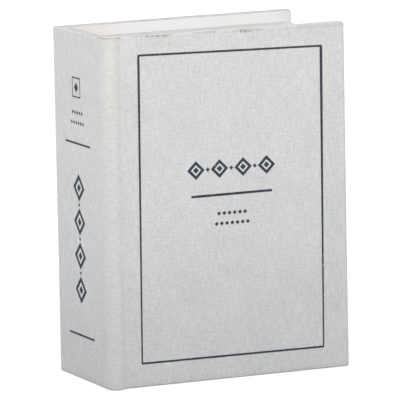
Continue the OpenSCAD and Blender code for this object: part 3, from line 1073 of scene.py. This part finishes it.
class Print:
    """Flat ink shapes in (a, z), collected into one thin solid on the cloth."""

    def __init__(self, seed):
        self.rng = np.random.default_rng(seed)
        self.strips = []

    def ragged(self, size=RAGGED):
        return self.rng.uniform(-size, size)

    def bar(self, start, end, width, end_width=None):
        """A ragged line from start to end."""
        end_width = width if end_width is None else end_width
        a, b = Vector(start), Vector(end)
        d = (b - a).normalized()
        side = Vector((-d.y, d.x))
        count = max(2, int((b - a).length / BAR_SLICE))
        pairs = []
        for k in range(count + 1):
            p = a + (b - a) * (k / count)
            half = 0.5 * (width + (end_width - width) * k / count)
            left = half + self.ragged()
            right = half + self.ragged()
            pairs.append((tuple(p + side * left), tuple(p - side * right)))
        self.strips.append(pairs)

    def frame_line(self, start, end, extra, width, end_width=None):
        """A bar between two corners, longer by extra at its two ends."""
        self.bar(stretched(start, end, extra[0]), stretched(end, start, extra[1]), width, end_width)

    def lozenge(self, a, z, size):
        """A solid lozenge, in slices along its height."""
        count = max(6, int(size / LOZENGE_SLICE))
        pairs = []
        for k in range(count + 1):
            t = 2 * k / count - 1
            half = max(0.5 * size * (1 - abs(t)), TIP)
            if abs(t) < 0.97:
                half += self.ragged(LOZENGE_RAGGED)
            level = z + 0.5 * size * t
            pairs.append(((a - half, level), (a + half, level)))
        self.strips.append(pairs)

    def open_lozenge(self, a, z, size, line):
        """A lozenge outline: four strips whose ends are mitred."""
        outer, inner = 0.5 * size, 0.5 * size - line
        corners = [(1, 0), (0, 1), (-1, 0), (0, -1)]
        for (ca, cz), (da, dz) in zip(corners, corners[1:] + corners[:1]):
            count = max(4, int(outer * 1.4 / FRAMED_SLICE))
            pairs = []
            for k in range(count + 1):
                t = k / count
                pa, pz = ca + (da - ca) * t, cz + (dz - cz) * t
                wobble = 0.0 if k in (0, count) else self.ragged(FRAMED_RAGGED)
                far, near = outer + wobble, inner + 0.5 * wobble
                pairs.append(((a + far * pa, z + far * pz), (a + near * pa, z + near * pz)))
            self.strips.append(pairs)

    def open_square(self, a, z, size, line):
        half = 0.5 * size
        mid = half - 0.5 * line
        for level in (z - mid, z + mid):
            self.bar((a - half, level), (a + half, level), line)
        for place in (a - mid, a + mid):
            self.bar((place, z - half + line), (place, z + half - line), line)

    def small_row(self, a, z, count, step, upright=False):
        for here in row_places(a, z, count, step, upright):
            self.lozenge(*here, SMALL_W)

    def small_rows(self, a, z, count):
        """A row of small lozenges over a row with one more."""
        self.small_row(a, z + 0.5 * ROW_STEP, count - 1, SMALL_STEP)
        self.small_row(a, z - 0.5 * ROW_STEP, count, SMALL_STEP)

    def chain(self, a, z, height, line, bead, gap, upright=False):
        """Framed lozenges in a chain, with a small one between each two."""
        step = height + SMALL_W + 2 * gap
        for here in row_places(a, z, FRAMED_COUNT, step, upright):
            self.open_lozenge(*here, height, math.sqrt(2.0) * line)
            self.lozenge(*here, bead)
        self.small_row(a, z, FRAMED_COUNT - 1, step, upright)

    def make(self, name, point):
        """point(a, z, depth) places a print point in the book's millimetres."""
        verts, faces, uvs = [], [], []
        for pairs in self.strips:
            base = len(verts)
            flat = [p for pair in pairs for p in pair]
            total = len(flat)
            verts += [point(a, z, -INK_PROUD) for a, z in flat]
            verts += [point(a, z, INK_DEPTH) for a, z in flat]

            def put(*quad):
                faces.append(tuple(base + q for q in quad))
                uvs.append([flat[q % total] for q in quad])

            for l0 in range(0, total - 2, 2):
                r0, l1, r1 = l0 + 1, l0 + 2, l0 + 3
                put(l0, r0, r1, l1)
                put(l1 + total, r1 + total, r0 + total, l0 + total)
                put(l0, l1, l1 + total, l0 + total)
                put(r1, r0, r0 + total, r1 + total)
            last = total - 2
            put(1, 0, total, total + 1)
            put(last, last + 1, total + last + 1, total + last)
        return turned_out(build(name, verts, faces, uvs, INK, 30.0))


def row_places(a, z, count, step, upright):
    """Points of a row with its middle at (a, z)."""
    shifts = [(k - 0.5 * (count - 1)) * step for k in range(count)]
    return [(a, z + shift) if upright else (a + shift, z) for shift in shifts]


def stretched(point, other, extra):
    """point moved away from other by extra, or towards it where extra is below 0."""
    p, q = Vector(point), Vector(other)
    return tuple(p + (p - q).normalized() * extra)


def cover_ink():
    ink = Print(31)
    (hinge_head, fore_head), (hinge_tail, fore_tail) = FRAME_HEAD, FRAME_TAIL
    ink.frame_line(hinge_head, fore_head, HEAD_LINE_ENDS, HEAD_LINE_W)
    ink.frame_line(hinge_tail, fore_tail, TAIL_LINE_ENDS, TAIL_LINE_W)
    ink.frame_line(hinge_tail, hinge_head, SIDE_LINE_ENDS, *HINGE_LINE_W)
    ink.frame_line(fore_tail, fore_head, SIDE_LINE_ENDS, *FORE_LINE_W)
    ink.chain(COVER_MID_X, ORNAMENT_Z, *COVER_CHAIN)
    ink.bar((COVER_MID_X - HALF_RULE, RULE_Z), (COVER_MID_X + HALF_RULE, RULE_Z), RULE_W)
    ink.small_rows(COVER_MID_X, ROWS_Z, ROW_COUNT)
    made = ink.make("cover_ink", on_cover)
    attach(made, "front_cover")
    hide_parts("cover_print")


def spine_ink():
    ink = Print(32)
    ink.open_square(SQUARE_Y, SQUARE_Z, SQUARE_W, SQUARE_LINE_W)
    ink.lozenge(SQUARE_Y, SQUARE_Z, SQUARE_LOZENGE_W)
    ink.small_rows(SPINE_MID_Y, SPINE_ROWS_Z, SPINE_ROW_COUNT)
    for z in SPINE_RULES_Z:
        ink.bar((SPINE_MID_Y - SPINE_HALF_RULE, z), (SPINE_MID_Y + SPINE_HALF_RULE, z), SPINE_RULE_W)
    ink.chain(SPINE_MID_Y, SPINE_ORNAMENT_Z, *SPINE_CHAIN, upright=True)
    made = ink.make("spine_ink", on_spine)
    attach(made, "case")
    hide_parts("spine_print")


# Nodes of the frame, by their material slots

FRAME_LOOKS = {
    "board": BOARD, "lining_paper": LINING_CAD, "page_paper": PAGES_CAD,
    "magnet": MAGNET, "book_cloth": CLOTH, "ink": INK,
}


def dress_frame():
    for part in frame["record"]["subparts"]:
        mesh = frame["nodes"][part["node"]].data
        mesh.materials.clear()
        mesh.materials.append(FRAME_LOOKS[part["material_slot"]])


# Stage

# The camera, fitted to the photo: place in metres; yaw, pitch and roll in degrees
CAMERA_PLACE = (-1.56045, -3.49688, 0.72620)
CAMERA_TURNS = (24.023, 9.026, -1.131)
CAMERA_LENS = 507.15
SENSOR_WIDTH = 36.0
CAMERA_REACH = 100.0

# Strength of the world's light at the horizon and overhead
SKY_LEVELS = (0.53, 0.24)
WHITE = (1.0, 1.0, 1.0, 1.0)

FLOOR_SIZE = 12.0
# The floor's colour for light and for the camera, and its glow near the box and far off
FLOOR_COLOUR = (0.22, 0.25, 0.30)
SEEN_FLOOR_COLOUR = (0.25, 0.25, 0.25)
GLOW_REACH = (0.12, 0.6)
GLOW_LEVELS = (0.79, 1.0)

LAMP_HEIGHT = 0.48
LAMP_LENGTH = 1.6
LAMP_WIDTH = 0.25
LAMP_AIM = Vector((0.0, 0.0, 0.12))
# Each lamp's place in plan and its power
LAMPS = {
    "front": ((0.0, -0.54), 3.95),
    "left": ((-0.59, 0.0), 3.25),
    "right": ((0.59, 0.0), 2.3),
    "back": ((0.0, 0.54), 2.3),
}


def add_camera():
    data = bpy.data.cameras.new("camera")
    data.lens = CAMERA_LENS
    data.sensor_width = SENSOR_WIDTH
    data.clip_end = CAMERA_REACH
    camera = placed("camera", data)
    yaw, pitch, roll = map(math.radians, CAMERA_TURNS)
    level = Vector((math.sin(yaw), math.cos(yaw), 0.0))
    right = Vector((math.cos(yaw), -math.sin(yaw), 0.0))
    up = Vector((0.0, 0.0, 1.0))
    forward = math.cos(pitch) * level - math.sin(pitch) * up
    above = math.sin(pitch) * level + math.cos(pitch) * up
    side = math.cos(roll) * right + math.sin(roll) * above
    top = -math.sin(roll) * right + math.cos(roll) * above
    turn = Matrix((side, top, -forward)).transposed()
    camera.matrix_world = Matrix.Translation(CAMERA_PLACE) @ turn.to_4x4()
    bpy.context.scene.camera = camera


def add_world():
    """Soft light that is stronger from low down, behind a plain white background."""
    world = bpy.data.worlds.new("world")
    bpy.context.scene.world = world
    world.use_nodes = True
    tree = world.node_tree
    tree.nodes.clear()
    _, _, height = split(tree, add(tree, "ShaderNodeTexCoord").outputs["Generated"])
    level = ramp(tree, height, 0.0, 1.0, *SKY_LEVELS, "LINEAR")
    light = add(tree, "ShaderNodeBackground", {"Color": WHITE, "Strength": level})
    white = add(tree, "ShaderNodeBackground", {"Color": WHITE, "Strength": 1.0})
    path = add(tree, "ShaderNodeLightPath").outputs
    seen = calc(tree, "MAXIMUM", path["Is Camera Ray"], path["Is Glossy Ray"])
    seen = calc(tree, "MAXIMUM", seen, path["Is Transmission Ray"])
    mix = add(tree, "ShaderNodeMixShader", {0: seen, 1: light.outputs[0], 2: white.outputs[0]})
    add(tree, "ShaderNodeOutputWorld", {"Surface": mix.outputs[0]})


def floor_material():
    """A pale floor that takes the shadow, with a glow that only the camera sees."""
    material = bpy.data.materials.new("pale floor")
    material.use_nodes = True
    tree = material.node_tree
    tree.nodes.clear()
    camera_ray = add(tree, "ShaderNodeLightPath").outputs["Is Camera Ray"]
    pale = tint(tree, camera_ray, FLOOR_COLOUR, SEEN_FLOOR_COLOUR)
    diffuse = add(tree, "ShaderNodeBsdfDiffuse", {"Color": pale})
    spot = add(tree, "ShaderNodeTexCoord").outputs["Object"]
    far = add(tree, "ShaderNodeVectorMath", {0: spot}, operation="LENGTH").outputs["Value"]
    glow = add(tree, "ShaderNodeEmission", {"Strength": ramp(tree, far, *GLOW_REACH, *GLOW_LEVELS)})
    dark = add(tree, "ShaderNodeEmission", {"Strength": 0.0})
    seen = add(tree, "ShaderNodeMixShader", {0: camera_ray, 1: dark.outputs[0], 2: glow.outputs[0]})
    total = add(tree, "ShaderNodeAddShader", {0: diffuse.outputs[0], 1: seen.outputs[0]})
    add(tree, "ShaderNodeOutputMaterial", {"Surface": total.outputs[0]})
    return material


def add_floor():
    mesh = bpy.data.meshes.new("floor")
    corners = [(FLOOR_SIZE * x, FLOOR_SIZE * y, 0.0) for x, y in ((-1, -1), (1, -1), (1, 1), (-1, 1))]
    mesh.from_pydata(corners, [], [(0, 1, 2, 3)])
    mesh.materials.append(floor_material())
    floor = placed("floor", mesh)


def add_lamps():
    """A low ring of four soft strips: each side is lit alike, and the light falls off downwards."""
    for name, ((x, y), power) in LAMPS.items():
        data = bpy.data.lights.new(name, "AREA")
        data.shape = "RECTANGLE"
        data.size = LAMP_LENGTH
        data.size_y = LAMP_WIDTH
        data.energy = power
        lamp = placed(name, data)
        lamp.location = (x, y, LAMP_HEIGHT)
        lamp.rotation_mode = "QUATERNION"
        lamp.rotation_quaternion = (LAMP_AIM - lamp.location).to_track_quat("-Z", "Y")
        lamp.visible_camera = False


case_cloth()
front_lining()
back_lining()
spine_lining()
joint_strip()
page_strips()
cover_ink()
spine_ink()
dress_frame()
add_camera()
add_world()
add_floor()
add_lamps()
bpy.context.scene.view_settings.view_transform = "Standard"
